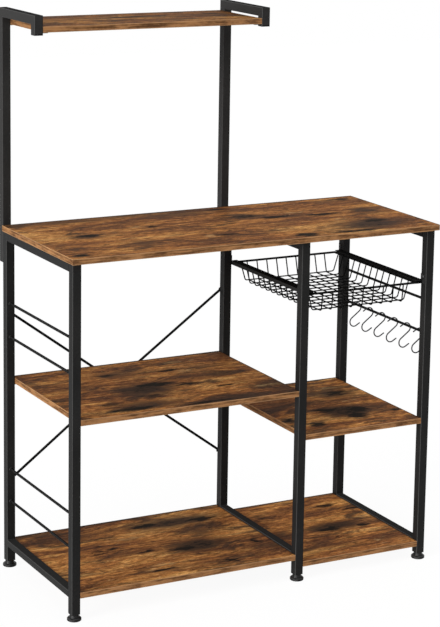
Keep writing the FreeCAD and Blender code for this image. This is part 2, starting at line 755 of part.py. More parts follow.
# One more cross wire hugs the outside of the rear bend of the long wires
bend_reach = mesh_bend + mesh_diameter + size("mesh_gap")
wall_angle = math.atan2(size("rear_slope"), -long_level)
bend_y = size("mesh_rear") - size("rear_slope") - mesh_bend * math.tan((math.pi / 2 - wall_angle) / 2)
hug_y = bend_y + bend_reach * math.sin(math.pi / 4)
hug_z = long_level + mesh_bend - bend_reach * math.cos(math.pi / 4)
below_rim = -size("rim_diameter") / 2 - size("mesh_end_gap")
cross_wires.append(cross_wire(hug_y, hug_z, below_rim))

long_first = size("mesh_left") + size("side_slope") + size("long_wire_left_margin")
long_last = size("mesh_right") - size("side_slope") - size("long_wire_right_margin")
long_places = spread(long_first, long_last, int(size("long_wire_count")))
long_wires = [long_wire(x, long_level) for x in long_places]

basket_place = vec(0, 0, basket_height)
shape_node("basket_rim", rim_loop(), basket_place)
shape_node("basket_cross_wires", Part.makeCompound(cross_wires), basket_place)
shape_node("basket_long_wires", Part.makeCompound(long_wires), basket_place)


# S hooks hung over the hook rod, seen along the rod with its axis at the origin
def s_hook():
    radius = size("hook_bend")
    crown = size("rod_diameter") / 2 + size("hook_gap") + size("hook_wire") / 2
    centre = vec(0, 0, crown - radius)
    middle = vec(-size("hook_skew"), 0, crown - (size("hook_height") - size("hook_wire")) / 2)
    offset = centre - middle
    reach = math.hypot(offset.x, offset.z)
    tangent = math.atan2(offset.z, offset.x) - math.asin(radius / reach)
    tip_angle = math.radians(size("hook_opening_angle"))

    def on_arc(angle):
        return centre + vec(math.cos(angle), 0, math.sin(angle)) * radius

    shank_top = on_arc(tangent - math.pi / 2)
    tip_root = on_arc(tip_angle)
    tip = tip_root + vec(-math.sin(tip_angle), 0, math.cos(tip_angle)) * size("hook_tip")
    arc_middle = on_arc((tip_angle + tangent - math.pi / 2) / 2)

    def opposite(point):
        return middle * 2 - point

    edges = [
        Part.makeLine(tip, tip_root),
        Part.Arc(tip_root, arc_middle, shank_top).toShape(),
        Part.makeLine(shank_top, opposite(shank_top)),
        Part.Arc(opposite(shank_top), opposite(arc_middle), opposite(tip_root)).toShape(),
        Part.makeLine(opposite(tip_root), opposite(tip)),
    ]
    return wire_along(edges, size("hook_wire"))


hook_shape = s_hook()
first_hook = size("frame_rear") - size("tube_size") - size("hook_rear_margin")
for i in range(int(size("hook_count"))):
    hook_place = vec(size("right_centre"), first_hook - i * size("hook_pitch"), size("hook_rod_height"))
    shape_node(f"s_hook_{i + 1}", hook_shape, hook_place)


# Levelling feet: plastic pad on a steel stud that turns in an insert in the leg end
def foot_pad(label, x, y):
    body = keep(new_body(label))
    profile = new_sketch(body, "Profile", "XZ_Plane")
    rim = "foot_pad_diameter / 2"
    neck_top = "foot_height - foot_gap"
    bore = "stud_diameter / 2 + fit_clearance"
    draw_outline(profile, [
        ("0", "0"), (f"{rim} - foot_lower_edge", "0"), (rim, "foot_lower_edge"),
        (rim, "foot_pad_height - foot_upper_edge"), (f"{rim} - foot_upper_edge", "foot_pad_height"),
        ("foot_neck_base / 2", "foot_pad_height"), ("foot_neck_top / 2", neck_top),
        (bore, neck_top), (bore, "stud_bottom"), ("0", "stud_bottom"),
    ])
    turned = body.newObject("PartDesign::Revolution", "Turned")
    turned.Profile = profile
    turned.ReferenceAxis = (profile, ["V_Axis"])
    turned.Angle = 360
    profile.Visibility = False
    place(body, x, y, "0")


def foot_stud(label, x, y):
    stud = keep(doc.addObject("Part::Cylinder", "Stud_" + label))
    stud.Label = label
    bind(stud, "Radius", "stud_diameter / 2")
    bind(stud, "Height", "stud_length")
    place(stud, x, y, "stud_bottom")


def leg_insert(name, x, y):
    body = new_body(name)
    block = new_sketch(body, "Block")
    draw_rectangle(block, "tube_inner - 2 * plug_clearance", "tube_inner - 2 * plug_clearance")
    pad(body, block, "insert_height")
    bore = new_sketch(body, "Bore")
    draw_circle(bore, "0", "0", "stud_diameter + 2 * fit_clearance")
    pocket(body, bore, middle=True)
    place(body, x, y, "foot_height")
    return body


inserts = []
for side, centre in frames.items():
    for end in ("front", "rear"):
        along = f"{end}_leg_centre"
        foot_pad(f"{side}_{end}_foot_pad", centre, along)
        foot_stud(f"{side}_{end}_foot_stud", centre, along)
        inserts.append(leg_insert(f"Insert{side.title()}{end.title()}", centre, along))
group("leg_inserts", inserts)

doc.recompute()

# Every object must be sound before any part is written
for thing in doc.Objects:
    if "Invalid" in thing.State or "Error" in thing.State:
        raise RuntimeError(f"{thing.Label}: {thing.State}")
for node in nodes:
    if node.Shape.isNull() or not node.Shape.isValid() or not node.Shape.Solids:
        raise RuntimeError(f"{node.Label}: not a valid solid")

os.makedirs("parts", exist_ok=True)
for node in nodes:
    node.Shape.exportStep(f"parts/{node.Label}.step")
print(len(nodes), "parts written")
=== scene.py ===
import json
import math

import bmesh
import bpy
from mathutils import Euler, Matrix, Vector


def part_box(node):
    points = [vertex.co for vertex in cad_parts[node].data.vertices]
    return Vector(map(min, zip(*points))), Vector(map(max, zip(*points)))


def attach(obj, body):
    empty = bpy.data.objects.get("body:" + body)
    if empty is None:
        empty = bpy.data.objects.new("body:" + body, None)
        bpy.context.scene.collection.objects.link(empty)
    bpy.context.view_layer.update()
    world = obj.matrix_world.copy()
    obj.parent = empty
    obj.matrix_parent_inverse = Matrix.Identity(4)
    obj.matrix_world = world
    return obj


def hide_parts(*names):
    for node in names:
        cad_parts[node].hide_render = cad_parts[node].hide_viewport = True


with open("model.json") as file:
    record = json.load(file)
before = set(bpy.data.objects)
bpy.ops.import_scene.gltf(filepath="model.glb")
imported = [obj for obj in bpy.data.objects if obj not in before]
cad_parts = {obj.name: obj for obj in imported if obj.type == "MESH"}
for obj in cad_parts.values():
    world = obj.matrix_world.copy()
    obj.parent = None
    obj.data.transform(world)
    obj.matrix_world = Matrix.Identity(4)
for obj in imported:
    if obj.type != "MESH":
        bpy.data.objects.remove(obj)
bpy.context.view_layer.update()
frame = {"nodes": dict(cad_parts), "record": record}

print("stage: frame loaded", len(frame["nodes"]), "nodes")


# small helpers for the node trees: an input takes a link, a number, a colour or a material
def setInputs(tree, node, inputs):
    for label, value in inputs.items():
        if isinstance(value, bpy.types.NodeSocket):
            tree.links.new(value, node.inputs[label])
        else:
            node.inputs[label].default_value = value


def addNode(tree, kind, place=(0, 0), inputs=None, **settings):
    node = tree.nodes.new(kind)
    node.location = place
    for key, value in settings.items():
        setattr(node, key, value)
    setInputs(tree, node, inputs or {})
    return node


# the first output of a new node
def outOf(tree, kind, place, inputs=None, **settings):
    return addNode(tree, kind, place, inputs, **settings).outputs[0]


def emptyMaterial(name):
    material = bpy.data.materials.new(name)
    material.use_nodes = True
    material.node_tree.nodes.clear()
    return material, material.node_tree


def freshMaterial(name):
    material, tree = emptyMaterial(name)
    shader = addNode(tree, "ShaderNodeBsdfPrincipled", (600, 0))
    addNode(tree, "ShaderNodeOutputMaterial", (900, 0), {"Surface": shader.outputs["BSDF"]})
    coords = addNode(tree, "ShaderNodeTexCoord", (-1400, 0))
    return material, tree, shader, coords.outputs


def stretched(tree, source, scale, offset=(0, 0, 0)):
    return outOf(tree, "ShaderNodeMapping", (-1150, 0),
                 {"Vector": source, "Scale": scale, "Location": offset})


def noise(tree, vector, scale, detail=4.0, roughness=0.5, distortion=0.0):
    node = addNode(tree, "ShaderNodeTexNoise", (-900, 0), {
        "Vector": vector, "Scale": scale, "Detail": detail, "Roughness": roughness,
        "Distortion": distortion})
    return node.outputs["Fac"]


def colourNoise(tree, vector, detail):
    node = addNode(tree, "ShaderNodeTexNoise", (-900, 0), {"Vector": vector, "Scale": 1.0, "Detail": detail})
    return node.outputs["Color"]


def span(tree, value, low, high, outLow=0.0, outHigh=1.0):
    return outOf(tree, "ShaderNodeMapRange", (-600, 0), {
        "Value": value, "From Min": low, "From Max": high, "To Min": outLow, "To Max": outHigh,
    }, interpolation_type="SMOOTHSTEP")


def calc(tree, operation, first, second=0.0):
    return outOf(tree, "ShaderNodeMath", (-500, 0), {0: first, 1: second}, operation=operation)


def times(tree, first, second):
    return calc(tree, "MULTIPLY", first, second)


# fields added up, each times its weight
def weighted(tree, *terms):
    parts = [times(tree, field, weight) for field, weight in terms]
    total = parts[0]
    for part in parts[1:]:
        total = calc(tree, "ADD", total, part)
    return total


def vectorCalc(tree, operation, first, second=(0, 0, 0)):
    return addNode(tree, "ShaderNodeVectorMath", (-500, 300), {0: first, 1: second},
                   operation=operation).outputs


def axesOf(tree, vector):
    return addNode(tree, "ShaderNodeSeparateXYZ", (-900, -600), {0: vector}).outputs


# inputs 6 and 7 are the two colours of a colour mix, and output 2 is its result
def mixColour(tree, factor, first, second, blend="MIX"):
    first, second = ((*value, 1.0) if isinstance(value, tuple) else value for value in (first, second))
    node = addNode(tree, "ShaderNodeMix", (-300, 0), {0: factor, 6: first, 7: second},
                   data_type="RGBA", blend_type=blend)
    return node.outputs[2]


def ramp(tree, value, stops):
    node = addNode(tree, "ShaderNodeValToRGB", (-500, 0), {"Fac": value})
    elements = node.color_ramp.elements
    while len(elements) < len(stops):
        elements.new(0.5)
    for element, (position, colour) in zip(elements, stops):
        element.position = position
        element.color = (*colour, 1.0)
    return node.outputs["Color"]


def bump(tree, shader, height, strength, distance):
    node = addNode(tree, "ShaderNodeBump", (300, -300),
                   {"Height": height, "Strength": strength, "Distance": distance})
    tree.links.new(node.outputs["Normal"], shader.inputs["Normal"])


# rustic board: laminate with grain along X, where amber, orange and red brown drift into each other
boardLook = {
    "drift": [(0.0, (0.070, 0.028, 0.014)), (0.28, (0.175, 0.066, 0.022)), (0.56, (0.330, 0.130, 0.036)),
              (0.80, (0.450, 0.200, 0.055)), (1.0, (0.640, 0.340, 0.110))],
    "driftWeights": (0.52, 0.34, 0.14),   # of the noises drift, streak and mottle
    "cloud": (0.034, 0.020, 0.013), "core": (0.011, 0.009, 0.007), "gleam": (0.760, 0.500, 0.220),
    "line": (0.095, 0.040, 0.017),
    "band": (0.400, 0.195, 0.080), "bandDark": (0.105, 0.048, 0.021), "arris": (0.520, 0.300, 0.150),
    "roughness": 0.68, "specular": 0.03,
    "cloudDepth": 0.86, "haloDepth": 0.62, "knotDepth": 0.94, "crackDepth": 0.85, "gleamDepth": 0.75,
    "cloudTear": 0.42, "cloudSoft": 0.14, "knotTear": 1.3, "knotSpan": (0.42, 0.76),
    "lineCount": 520.0, "lineWander": 60.0,
    # how far in from an edge a tone starts, where it is full, and how strong it is there
    "rearEdge": (0.0120, 0.0050, 0.78), "rightEdge": (0.0045, 0.0020, 0.70),
    "arrisEdge": (0.0022, 0.0009, 0.55),
    "grainHeight": 0.0004,
}
# the noises of the grain: how fine along and across the board, detail, roughness, distortion, shift
boardGrain = {
    "drift": (2.8, 11, 6.0, 0.62, 0.5, (0, 0)),
    "streak": (6, 105, 5.0, 0.66, 0.3, (2, 5)),
    "mottle": (62, 150, 5.0, 0.72, 0.4, (5, 1)),
    "veil": (6.5, 19, 7.0, 0.68, 0.8, (7, 3)),
    "fibre": (22, 560, 4.0, 0.72, 0.0, (1, 9)),
    "swing": (4, 14, 3.0, 0.5, 0.0, (7, 2)),
    "crack": (30, 130, 5.0, 0.66, 0.9, (11, 5)),
    "glint": (48, 170, 4.0, 0.66, 0.5, (21, 6)),
}
# The larger brown clouds, the pale patches without them, and the knots, ring knots and gleams of a board:
# x, y, half length and half width in mm, then how strong it is. "seed" picks the grain of a board, and a
# higher
# "clear" value leaves fewer brown clouds on it. The gain is painted light: it makes each board lighter or
# darker for how much light falls on it.
boardPattern = {
    "worktop": {
        "seed": 1.0, "paintedLightGain": 1.1, "clear": 0.492,
        "clouds": [(-300, 152, 170, 26, 0.80), (-50, 136, 125, 40, 0.82), (312, -132, 120, 68, 1.00),
                   (384, 8, 52, 44, 1.00), (86, 48, 60, 32, 0.95), (-325, -12, 66, 32, 0.70),
                   (-244, -124, 52, 44, 0.75)],
        "pale": [(200, -44, 80, 42, 0.85), (-135, -34, 70, 30, 0.80)],
        "knots": [(-325, -6, 30, 15, 0.90), (155, 18, 40, 11, 1.00), (96, 48, 40, 18, 0.66),
                  (270, 3, 38, 12, 0.95), (-42, -110, 22, 9, 0.85), (118, -182, 28, 18, 1.00),
                  (-418, -180, 22, 15, 0.90), (250, -190, 64, 8, 0.95), (340, -106, 30, 18, 0.75),
                  (70, 150, 22, 9, 0.80), (-150, 34, 20, 9, 0.75), (404, 146, 26, 12, 0.80),
                  (300, -150, 70, 30, 0.50)],
        "rings": [],
        "gleams": [(-78, -108, 14, 16, 1.00), (212, 46, 34, 9, 0.70), (-190, 38, 26, 8, 0.60),
                   (270, -62, 22, 12, 0.60)],
    },
    "middle_left_shelf": {
        "seed": 2.0, "paintedLightGain": 1.16, "clear": 0.47,
        "clouds": [(-198, -42, 92, 66, 1.00), (-205, 92, 80, 40, 0.75), (-250, -150, 100, 40, 0.95),
                   (-30, 4, 95, 26, 0.50), (78, -165, 56, 26, 0.70), (-350, 30, 56, 52, 0.45)],
        "pale": [(44, 122, 90, 60, 0.95)],
        "knots": [(-166, -14, 44, 17, 0.95), (-80, 78, 38, 7, 0.95), (-92, -38, 32, 10, 0.95),
                  (-24, -83, 20, 7, 1.00), (-286, -168, 56, 13, 0.90), (-120, -186, 70, 7, 0.95),
                  (-233, 95, 22, 14, 0.75), (-212, -40, 62, 34, 0.56), (-208, -94, 34, 14, 0.66),
                  (-318, -116, 26, 16, 0.60)],
        "rings": [(22, -78, 16, 13, 0.80)],
        "gleams": [(-52, 62, 26, 8, 0.90), (60, -122, 44, 12, 0.60), (-45, 135, 20, 12, 0.50)],
    },
    "middle_right_shelf": {
        "seed": 3.0, "paintedLightGain": 1.47, "clear": 0.474,
        "clouds": [(300, -74, 86, 64, 1.00), (346, 56, 72, 40, 0.90), (158, 40, 52, 22, 0.50),
                   (146, -88, 46, 32, 0.80)],
        "pale": [(240, -150, 70, 26, 0.80)],
        "knots": [(260, -50, 26, 19, 0.90), (302, -116, 24, 20, 1.00), (330, -70, 26, 24, 0.95),
                  (350, 62, 34, 16, 0.80), (181, -138, 18, 15, 0.80), (412, -112, 18, 10, 0.80),
                  (296, -76, 58, 40, 0.58), (140, -84, 16, 18, 0.70)],
        "rings": [],
        "gleams": [(345, -4, 24, 10, 0.70), (370, 112, 30, 14, 0.60)],
    },
    "bottom_left_shelf": {
        "seed": 4.0, "paintedLightGain": 1.22, "clear": 0.472,
        "clouds": [(-52, 116, 150, 52, 0.95), (-320, 122, 120, 46, 0.60), (-72, -44, 104, 56, 1.00),
                   (40, -112, 62, 50, 0.45), (-240, -30, 104, 15, 0.50), (-170, -152, 112, 18, 0.50),
                   (-24, 36, 42, 66, 0.80)],
        "pale": [(-262, 34, 140, 36, 0.85)],
        "knots": [(-122, 120, 44, 13, 0.85), (20, 108, 34, 14, 0.95), (-102, -52, 34, 13, 0.90),
                  (-248, 14, 17, 6, 0.95), (-64, -44, 62, 34, 0.55), (-40, 116, 96, 22, 0.50),
                  (-185, -32, 18, 6, 0.90), (-205, -149, 28, 6, 1.00), (-45, -160, 14, 14, 0.85),
                  (65, -75, 15, 16, 0.80)],
        "rings": [(-293, 5, 16, 14, 0.85)],
        "gleams": [(-224, -140, 14, 6, 1.00), (-195, -118, 34, 12, 0.50), (-200, 60, 70, 8, 0.45)],
    },
    "bottom_right_shelf": {
        "seed": 5.0, "paintedLightGain": 1.4, "clear": 0.48,
        "clouds": [(300, -28, 116, 38, 0.95), (160, -24, 50, 30, 0.85), (240, -135, 92, 13, 0.55),
                   (370, -148, 58, 13, 0.70)],
        "pale": [(250, 110, 90, 40, 0.80), (300, -182, 120, 20, 0.80)],
        "knots": [(285, -38, 42, 11, 0.92), (354, 110, 28, 11, 0.78), (410, 66, 22, 8, 0.90),
                  (372, -45, 14, 9, 0.85), (300, -24, 70, 22, 0.52), (186, 94, 16, 9, 0.60)],
        "rings": [],
        "gleams": [(341, -149, 10, 7, 1.00), (410, 8, 22, 10, 0.60)],
    },
    "top_shelf": {
        "seed": 6.0, "paintedLightGain": 0.72, "clear": 0.475,
        "clouds": [(-190, 124, 140, 26, 0.62), (30, 112, 110, 42, 0.60)],
        "pale": [],
        "knots": [(-170, 126, 60, 8, 0.70), (40, 140, 40, 8, 0.80)],
        "rings": [],
        "gleams": [(-220, 104, 40, 8, 0.60)],
    },
}


# how the grain and the outlines of the marks are pushed about: how fine the push is along and across the
# board, its detail, and how far it reaches along and across
boardWarp = {"grain": (3.5, 9, 3.0, 0.020, 0.050), "outline": (30, 100, 6.0, 0.085, 0.026)}
# where marks fade out and where they are full, as a share of their size; "hollow" is the hole of a ring knot
boardRims = {
    "pale": (1.25, 0.30), "clouds": (1.25, 0.15), "knots": (1.70, 0.25), "gleams": (1.20, 0.20),
    "rings": (1.20, 0.70), "hollow": (0.75, 0.45),
}
# the two values of its source between which each tone rises, then its ends where they aren't 0 and 1
boardFades = {
    "drift": (0.385, 0.610), "cloudTear": (0.32, 0.60, 0.62, 1.08),
    "line": (0.30, 1.0), "lineStrength": (0.40, 0.62, 0.08, 0.50),
    "mottleShade": (0.34, 0.66, 0.70, 1.30), "fibreShade": (0.32, 0.68, 0.70, 1.28),
    "halo": (0.0, 0.5), "crack": (0.610, 0.680), "gleam": (0.42, 0.60),
    "stray": (0.630, 0.710), "strayBesideCloud": (0.05, 0.45, 0.75, 0.10),
    "band": (0.40, 0.58), "level": (0.86, 0.97),
}
# the grain of the banded edges: how fine it is each way, roughness, distortion and weight
bandGrain = [((13, 13, 310), 0.70, 0.2, 0.55), ((26, 26, 80), 0.66, 0.0, 0.45)]


# how deep a point lies in the marks of a board: full inside the heart, none outside the rim
def depthOf(tree, ragged, marks, rim, heart):
    deepest = 0.0
    for x, y, halfLength, halfWidth, depth in marks:
        local = stretched(tree, ragged, (1000 / halfLength, 1000 / halfWidth, 0),
                          (-x / halfLength, -y / halfWidth, 0))
        reach = vectorCalc(tree, "LENGTH", local)["Value"]
        deepest = calc(tree, "MAXIMUM", deepest, span(tree, reach, heart, rim, depth, 0.0))
    return deepest


# the same place, pushed about by a colour noise
def warped(tree, place, field, along, across):
    centred = vectorCalc(tree, "SUBTRACT", field, (0.5, 0.5, 0.5))[0]
    push = vectorCalc(tree, "MULTIPLY", centred, (along, across, 0.0))[0]
    return vectorCalc(tree, "ADD", place, push)[0]


def rusticBoard(name, board, pattern):
    look = boardLook
    material, tree, shader, coords = freshMaterial(name)
    place = coords["Object"]
    low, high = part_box(board)
    middle, half = (low[2] + high[2]) / 2, (high[2] - low[2]) / 2
    seed = pattern["seed"]
    shift = (seed * 3.7, seed * 1.9, seed * 5.3)

    def field(kind):
        along, across, detail, roughness, distortion, extra = boardGrain[kind]
        offset = (shift[0] + extra[0], shift[1] + extra[1], shift[2])
        grain = stretched(tree, flow, (along, across, 1), offset)
        return noise(tree, grain, 1.0, detail, roughness, distortion)

    def pushed(kind):
        along, across, detail, reachAlong, reachAcross = boardWarp[kind]
        push = colourNoise(tree, stretched(tree, place, (along, across, 1), shift), detail)
        return warped(tree, place, push, reachAlong, reachAcross)

    def marked(kind, rims=None):
        return depthOf(tree, ragged, pattern[kind], *boardRims[rims or kind])

    def faded(kind, value):
        return span(tree, value, *boardFades[kind])

    def nearEdge(kind, position, edge):
        start, full, strength = look[kind]
        return span(tree, position, edge - start, edge - full, 0.0, strength)

    # the grain wanders a little, so that streaks bend and meet; knots get torn outlines
    flow, ragged = pushed("grain"), pushed("outline")
    drift, streak, mottle = field("drift"), field("streak"), field("mottle")
    tone = weighted(tree, *zip((drift, streak, mottle), look["driftWeights"]))
    colour = ramp(tree, faded("drift", tone), look["drift"])

    # brown clouds, torn by the streaks
    tear = times(tree, calc(tree, "SUBTRACT", streak, 0.5), look["cloudTear"])
    veil = calc(tree, "ADD", field("veil"), tear)
    cloud = span(tree, veil, pattern["clear"], pattern["clear"] + look["cloudSoft"], 0.0, look["cloudDepth"])
    cloud = times(tree, cloud, calc(tree, "SUBTRACT", 1.0, marked("pale")))
    placed = times(tree, marked("clouds"), faded("cloudTear", mottle))
    cloud = calc(tree, "MAXIMUM", cloud, placed)
    colour = mixColour(tree, cloud, colour, look["cloud"])

    # wavy grain lines and fine fibres
    fibre = field("fibre")
    across = axesOf(tree, flow)["Y"]
    phase = weighted(tree, (across, look["lineCount"]), (field("swing"), look["lineWander"]))
    lines = times(tree, faded("line", calc(tree, "SINE", phase)), faded("lineStrength", streak))
    colour = mixColour(tree, lines, colour, look["line"])
    shade = times(tree, faded("mottleShade", mottle), faded("fibreShade", fibre))
    # the gain of each board is painted light, for how much light falls on it
    shade = times(tree, shade, pattern["paintedLightGain"])
    shadeColour = outOf(tree, "ShaderNodeCombineColor", (-200, 200), {0: shade, 1: shade, 2: shade})
    colour = mixColour(tree, 1.0, colour, shadeColour, "MULTIPLY")

    # near-black knots with a soft halo, small cracks between them, ring knots
    knot = marked("knots")
    halo = times(tree, faded("halo", knot), look["haloDepth"])
    colour = mixColour(tree, halo, colour, look["cloud"])
    crack = times(tree, faded("crack", field("crack")), look["crackDepth"])
    ring = times(tree, marked("rings"), calc(tree, "SUBTRACT", 1.0, marked("rings", "hollow")))
    torn = calc(tree, "ADD", knot, times(tree, calc(tree, "SUBTRACT", mottle, 0.5), look["knotTear"]))
    torn = span(tree, torn, *look["knotSpan"], 0.0, look["knotDepth"])
    dark = calc(tree, "MAXIMUM", calc(tree, "MAXIMUM", torn, crack), ring)
    face = mixColour(tree, dark, colour, look["core"])

    # pale gleams beside the dark places
    glint = field("glint")
    gleam = times(tree, marked("gleams"), faded("gleam", glint))
    stray = times(tree, faded("stray", glint), faded("strayBesideCloud", cloud))
    gleam = times(tree, calc(tree, "MAXIMUM", gleam, stray), calc(tree, "SUBTRACT", 1.0, dark))
    face = mixColour(tree, times(tree, gleam, look["gleamDepth"]), face, look["gleam"])

    # banded edges: finer grain along the edge, a pale line at both arrises
    bandTone = weighted(tree, *(
        (noise(tree, stretched(tree, place, fine, shift), 1.0, 5.0, roughness, distortion), weight)
        for fine, roughness, distortion, weight in bandGrain))
    band = mixColour(tree, faded("band", bandTone), look["bandDark"], look["band"])
    position = axesOf(tree, place)
    fromMiddle = calc(tree, "ABSOLUTE", calc(tree, "SUBTRACT", position["Z"], middle))
    band = mixColour(tree, nearEdge("arrisEdge", fromMiddle, half), band, look["arris"])

    # the pressed face is dark along its rear and right edges
    edges = calc(tree, "MAXIMUM", nearEdge("rearEdge", position["Y"], high[1]),
                 nearEdge("rightEdge", position["X"], high[0]))
    face = mixColour(tree, edges, face, look["cloud"])

    # faces that look up or down get the pressed face, the others the banded edge
    level = faded("level", calc(tree, "ABSOLUTE", axesOf(tree, coords["Normal"])["Z"]))
    roughness = span(tree, calc(tree, "ADD", fibre, times(tree, dark, 0.35)), 0.3, 1.0,
                     look["roughness"] - 0.06, look["roughness"] + 0.14)
    setInputs(tree, shader, {"Base Color": mixColour(tree, level, band, face), "Roughness": roughness,
                             "Specular IOR Level": look["specular"]})
    bump(tree, shader, weighted(tree, (fibre, 0.7), (streak, 0.5)), 0.3, look["grainHeight"])
    return material


# satin powder coat on steel: orange peel, with a faint cloudiness, and painted highlights, painted shade and
# painted tones on its arrises and tops
coatLook = {
    # besides colour and worn, the tints are painted light: a painted highlight, painted shade and a painted
    # tone for the tops
    "colour": (0.0150, 0.0148, 0.0146), "worn": (0.0220, 0.0216, 0.0210), "paintedHighlight": (0.0800, 0.0790, 0.0780),
    "paintedShade": (0.0040, 0.0040, 0.0040), "top": (0.0270, 0.0268, 0.0264),
    "roughness": 0.44, "specular": 0.035, "topRoughness": 1.0, "peelScale": 620.0,
}
# the coat's painted light: a painted highlight on the front left arris, the upper and lower left arrises and
# the upper front arris, painted shade on the front right and rear left arrises, and a painted tone on the
# tops, lighter or darker
# by how light falls there: the way that a place faces, the tint that it takes and how much of it
coatPaintedLight = [
    ((-0.70, -0.70, 0.12), "paintedHighlight", 0.9), ((-0.70, 0, 0.70), "paintedHighlight", 0.8),
    ((-0.70, 0, -0.70), "paintedHighlight", 0.4), ((0, -0.70, 0.70), "paintedHighlight", 0.5),
    ((0.70, -0.70, 0), "paintedShade", 0.8), ((-0.70, 0.70, 0), "paintedShade", 0.8), ((0, 0, 1.0), "top", 0.8),
]
# its cloudiness: scale, detail, roughness and weight of two noises
coatCloud = [(9.0, 5.0, 0.60, 0.55), (240.0, 4.0, 0.65, 0.45)]


def powderCoat(name, look):
    material, tree, shader, coords = freshMaterial(name)
    place, normal = coords["Object"], coords["Normal"]
    mixed = weighted(tree, *((noise(tree, place, scale, detail, roughness), weight)
                             for scale, detail, roughness, weight in coatCloud))
    colour = mixColour(tree, span(tree, mixed, 0.38, 0.66), look["colour"], look["worn"])
    # painted highlights, painted shade and a painted tone on the tops, by the way each place faces
    for towards, tint, amount in coatPaintedLight:
        facing = vectorCalc(tree, "DOT_PRODUCT", normal, towards)["Value"]
        colour = mixColour(tree, span(tree, facing, 0.84, 0.97, 0.0, amount), colour, look[tint])
    # dust takes the gloss off the tops
    dusty = span(tree, axesOf(tree, normal)["Z"], 0.70, 0.95, 0.0, look["topRoughness"])
    satin = span(tree, mixed, 0.35, 0.65, look["roughness"] - 0.05, look["roughness"] + 0.08)
    setInputs(tree, shader, {"Base Color": colour, "Roughness": calc(tree, "MAXIMUM", satin, dusty),
                             "Specular IOR Level": look["specular"]})
    bump(tree, shader, noise(tree, place, look["peelScale"], 2.0), 0.28, 0.00012)
    return material


# drawn steel wire of the hooks: lengthwise scratches under a dark finish
hookLook = {"dark": (0.030, 0.030, 0.032), "light": (0.095, 0.095, 0.100), "roughness": 0.38}


def drawnSteel(name, look):
    material, tree, shader, coords = freshMaterial(name)
    place = coords["Object"]
    scratch = noise(tree, stretched(tree, place, (260, 900, 260)), 1.0, 4.0, 0.6)
    patch = noise(tree, place, 70.0, 3.0, 0.6)
    mixed = weighted(tree, (scratch, 0.5), (patch, 0.5))
    colour = mixColour(tree, span(tree, mixed, 0.36, 0.64), look["dark"], look["light"])
    satin = span(tree, mixed, 0.35, 0.65, look["roughness"] - 0.08, look["roughness"] + 0.12)
    setInputs(tree, shader, {"Base Color": colour, "Roughness": satin, "Metallic": 1.0})
    bump(tree, shader, scratch, 0.2, 0.00006)
    return material


# zinc plate of the studs, nuts and board screws
zincLook = {"dark": (0.420, 0.420, 0.405), "light": (0.640, 0.640, 0.610), "roughness": 0.36}


def grey(value):
    return (value, value, value)


# the other black finishes: round rods and brace, moulded plastic, screws, wire; and copies of the coat with
# painted light and shade for the basket rails and the hutch brackets
# a copy of the coat with painted light for the basket rails: lighter sides, and a near black top that is
# painted shade of the channel and its wire
shadedRailLook = {
    **coatLook, "colour": (0.0280, 0.0278, 0.0275), "worn": (0.0400, 0.0396, 0.0390),
    "paintedHighlight": (0.1000, 0.0990, 0.0980), "top": grey(0.0015), "specular": 0.01,
}
rodLook = {
    **coatLook, "colour": grey(0.0060), "worn": grey(0.0110), "paintedHighlight": grey(0.0200), "top": grey(0.0070),
    "specular": 0.02,
}
# a lighter copy of the coat for the hutch posts and arms, painted light for the brighter light they get up
# there
litHutchLook = {
    **coatLook, "colour": (0.0250, 0.0245, 0.0240), "worn": (0.0355, 0.0348, 0.0340), "top": grey(0.0080),
}
plasticLook = {
    "colour": grey(0.0060), "worn": grey(0.0100), "paintedHighlight": grey(0.0500), "paintedShade": grey(0.0060),
    "top": grey(0.0060), "roughness": 0.34, "specular": 0.10, "topRoughness": 0.0, "peelScale": 1500.0,
}
screwLook = {
    "colour": (0.0100, 0.0100, 0.0105), "worn": (0.0300, 0.0295, 0.0285), "paintedHighlight": grey(0.0400),
    "paintedShade": grey(0.0080), "top": grey(0.0080), "roughness": 0.36, "specular": 0.30, "topRoughness": 0.0,
    "peelScale": 900.0,
}
wireLook = {
    "colour": grey(0.0035), "worn": grey(0.0070), "paintedHighlight": grey(0.0120), "paintedShade": grey(0.0030),
    "top": grey(0.0030), "roughness": 0.44, "specular": 0.02, "topRoughness": 1.0, "peelScale": 700.0,
}

blackSteel = powderCoat("blackSteel", coatLook)
shadedRailCoat = powderCoat("shadedRailCoat", shadedRailLook)
litHutchCoat = powderCoat("litHutchCoat", litHutchLook)
rodCoat = powderCoat("rodCoat", rodLook)
basketCoat = powderCoat("basketCoat", wireLook)
blackPlastic = powderCoat("blackPlastic", plasticLook)
blackScrew = powderCoat("blackScrew", screwLook)
hookSteel = drawnSteel("hookSteel", hookLook)
zincSteel = drawnSteel("zincSteel", zincLook)
boardFinish = {board: rusticBoard("rusticBoard_" + board, board, pattern)
               for board, pattern in boardPattern.items()}
slotFinish = {"black_steel": blackSteel, "basket_wire": basketCoat, "black_plastic": blackPlastic,
              "black_screw": blackScrew, "hook_steel": hookSteel, "zinc_steel": zincSteel}

nodeSlot = {part["node"]: part["material_slot"] for part in frame["record"]["subparts"]}
for nodeName, node in frame["nodes"].items():
    finish = boardFinish.get(nodeName) or slotFinish[nodeSlot[nodeName]]
    # the basket rails take the copy of the coat with painted light and shade
    if nodeName in ("basket_left_rail", "basket_right_rail"):
        finish = shadedRailCoat
    # the hutch takes the lighter copy of the coat, painted light
    if "_hutch_" in nodeName:
        finish = litHutchCoat
    if "_rod" in nodeName or "brace_bar" in nodeName:
        finish = rodCoat
    node.data.materials.clear()
    node.data.materials.append(finish)
print("stage: materials on", len(frame["nodes"]), "nodes")


